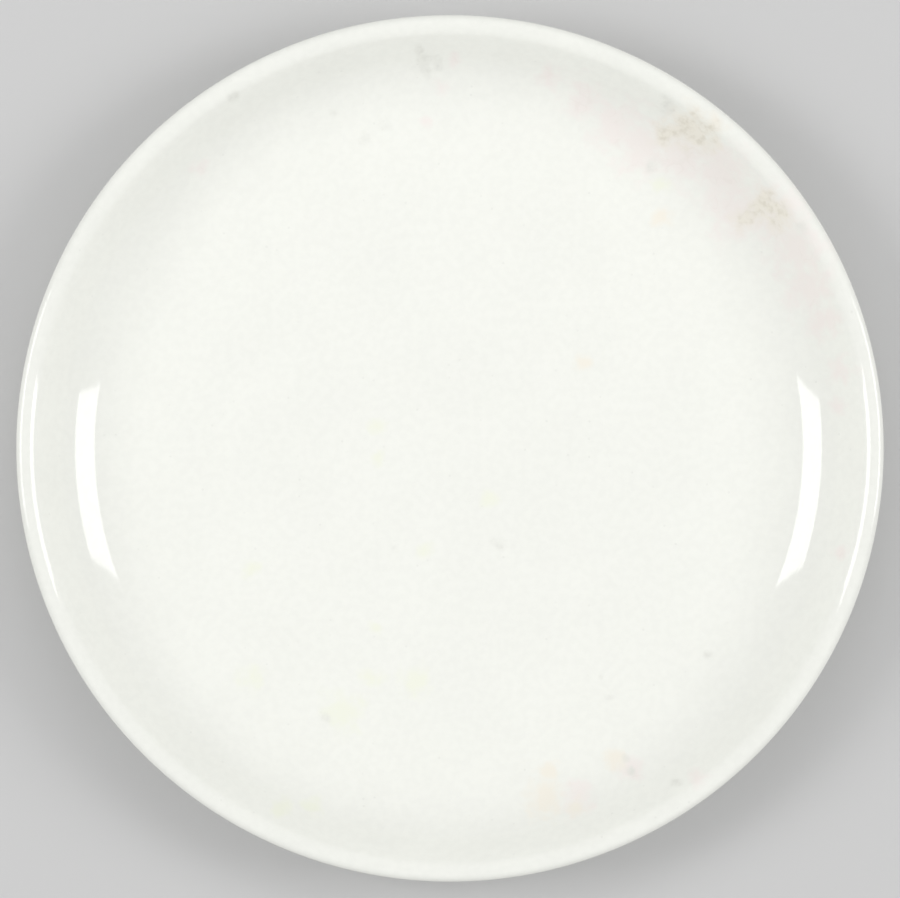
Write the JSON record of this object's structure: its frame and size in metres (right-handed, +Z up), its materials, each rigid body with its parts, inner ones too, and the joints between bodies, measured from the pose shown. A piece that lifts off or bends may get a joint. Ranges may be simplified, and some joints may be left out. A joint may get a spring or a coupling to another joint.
{
  "type": "evaporating dish",
  "caption": "Shallow round porcelain evaporating dish with a flat floor, a coved side, a rounded lip and a low foot ring.",
  "frame": {"origin": "centre of the foot ring's face, on the surface that the dish stands on", "axes": "+Z up, along the axis that the dish is turned about, out of its open side; +X and +Y are any two directions across it"},
  "size_m": [0.1, 0.1, 0.0101],
  "materials": {
    "glazed_porcelain": "Clear fired glaze over white porcelain, glossy, with a slight warm green cast. The face of the foot ring is bare and matte."
  },
  "bodies": {
    "root": {"dish": "glazed_porcelain"}
  },
  "joints": []
}
